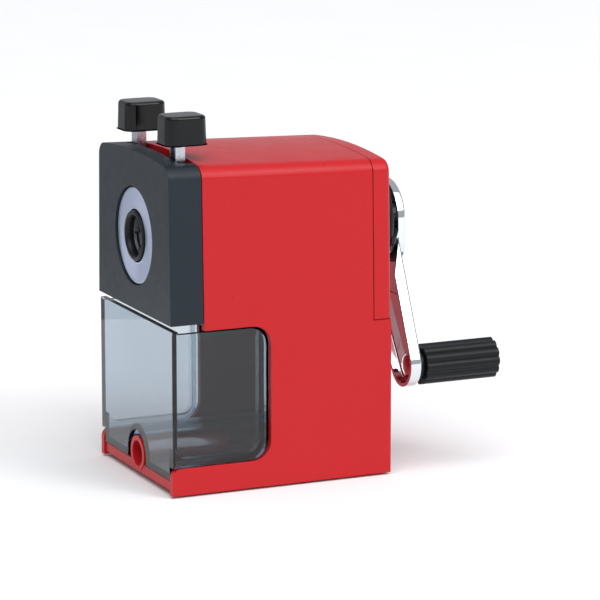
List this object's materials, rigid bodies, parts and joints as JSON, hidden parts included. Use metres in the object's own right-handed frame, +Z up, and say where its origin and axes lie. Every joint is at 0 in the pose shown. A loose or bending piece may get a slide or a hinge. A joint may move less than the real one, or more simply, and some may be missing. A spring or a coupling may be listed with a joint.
{
  "type": "pencil sharpener",
  "caption": "Hand-cranked desk pencil sharpener: red housing, pull-out dark head with pinch-lever chuck, clear shavings drawer, chromed crank with a ribbed grip.",
  "frame": {"origin": "on the desk surface, in the middle of the sharpener's own box", "axes": "+Z up; the pencil goes in along +Y, so the front faces -Y; +X is the side that the crank's handle hangs on"},
  "size_m": [0.0657, 0.119, 0.1235],
  "materials": {
    "red_plastic": "moulded, glossy",
    "smoke_plastic": "clear smoke-grey, polished",
    "slate_plastic": "fine satin, moulded",
    "black_plastic": "satin, moulded",
    "rubber": "matt",
    "chrome": "bright plated",
    "satin_ring": "satin, fine turning lines",
    "zinc": "zinc plated",
    "steel": "ground",
    "brass": "turned"
  },
  "bodies": {
    "stand": {"housing": "red_plastic", "rear_cover": "red_plastic", "base_plate": "red_plastic", "foot_1": "rubber", "foot_2": "rubber", "foot_3": "rubber", "foot_4": "rubber", "base_screw_1": "steel", "base_screw_2": "steel", "cover_screw_1": "steel", "cover_screw_2": "steel", "mechanism_frame": "zinc", "frame_screw_1": "steel", "frame_screw_2": "steel", "frame_screw_3": "steel", "frame_screw_4": "steel", "ring_gear": "steel", "rear_bearing": "brass", "rear_collar": "black_plastic", "rod_bush_1": "brass", "rod_bush_2": "brass", "head_spring_1": "steel", "head_spring_2": "steel"},
    "head": {"head_shell": "slate_plastic", "head_back_plate": "zinc", "head_screw_1": "steel", "head_screw_2": "steel", "head_screw_3": "steel", "head_screw_4": "steel", "bezel_ring": "satin_ring", "chuck_guide": "slate_plastic", "chuck_body": "zinc", "guide_rod_1": "steel", "guide_rod_2": "steel", "rod_clip_1": "steel", "rod_clip_2": "steel", "lever_spring": "steel"},
    "left_pincher": {"left_lever": "zinc", "left_cap": "black_plastic"},
    "right_pincher": {"right_lever": "zinc", "right_cap": "black_plastic"},
    "top_jaw": {"jaw_1": "steel"},
    "right_jaw": {"jaw_2": "steel"},
    "left_jaw": {"jaw_3": "steel"},
    "crank": {"crank_arm": "chrome", "crank_nut": "steel", "handle_pin": "chrome", "grip_collar": "black_plastic", "drive_shaft": "steel", "carrier": "zinc", "cutter_axle": "steel", "cutter_washer": "brass"},
    "cutter": {"helical_cutter": "steel", "cutter_pinion": "steel"},
    "handle": {"grip": "black_plastic"},
    "tray": {"drawer": "smoke_plastic"}
  },
  "joints": [
    {"name": "head_pull", "type": "slide", "parent": "stand", "child": "head", "axis": [0, -1, 0], "range_m": [0, 0.032], "stiffness_N_per_m": 200, "springref_m": -0.015, "deforming": ["head_spring_1", "head_spring_2"]},
    {"name": "left_pinch", "type": "hinge", "parent": "head", "child": "left_pincher", "pos_m": [0, -0.05125, 0.0816], "axis": [0, 1, 0], "range_deg": [0, 11], "stiffness_Nm_per_rad": 0.5, "springref_deg": -11.46, "deforming": ["lever_spring"]},
    {"name": "right_pinch", "type": "hinge", "parent": "head", "child": "right_pincher", "pos_m": [0, -0.04975, 0.0816], "axis": [0, 1, 0], "range_deg": [-11, 0]},
    {"name": "top_jaw_slide", "type": "slide", "parent": "head", "child": "top_jaw", "axis": [0, 0, 1], "range_m": [0, 0.0024]},
    {"name": "right_jaw_slide", "type": "slide", "parent": "head", "child": "right_jaw", "axis": [0.866, 0, -0.5], "range_m": [0, 0.0024]},
    {"name": "left_jaw_slide", "type": "slide", "parent": "head", "child": "left_jaw", "axis": [-0.866, 0, -0.5], "range_m": [0, 0.0024]},
    {"name": "crank_turn", "type": "hinge", "parent": "stand", "child": "crank", "pos_m": [0, 0.01925, 0.0816], "axis": [0, 1, 0], "continuous": true},
    {"name": "cutter_spin", "type": "hinge", "parent": "crank", "child": "cutter", "pos_m": [0, -0.00325, 0.07529], "axis": [0, 0.9833, 0.1822], "continuous": true},
    {"name": "grip_spin", "type": "hinge", "parent": "crank", "child": "handle", "pos_m": [0.0258, 0.04765, 0.0351], "axis": [0, 1, 0], "continuous": true},
    {"name": "drawer_pull", "type": "slide", "parent": "stand", "child": "tray", "axis": [0, -1, 0], "range_m": [0, 0.065]}
  ],
  "couplings": [
    {"joint": "right_pinch", "follows": "left_pinch", "ratio": -1},
    {"joint": "top_jaw_slide", "follows": "left_pinch", "m_per_rad": 0.0125},
    {"joint": "right_jaw_slide", "follows": "left_pinch", "m_per_rad": 0.0125},
    {"joint": "left_jaw_slide", "follows": "left_pinch", "m_per_rad": 0.0125},
    {"joint": "cutter_spin", "follows": "crank_turn", "ratio": -3}
  ]
}
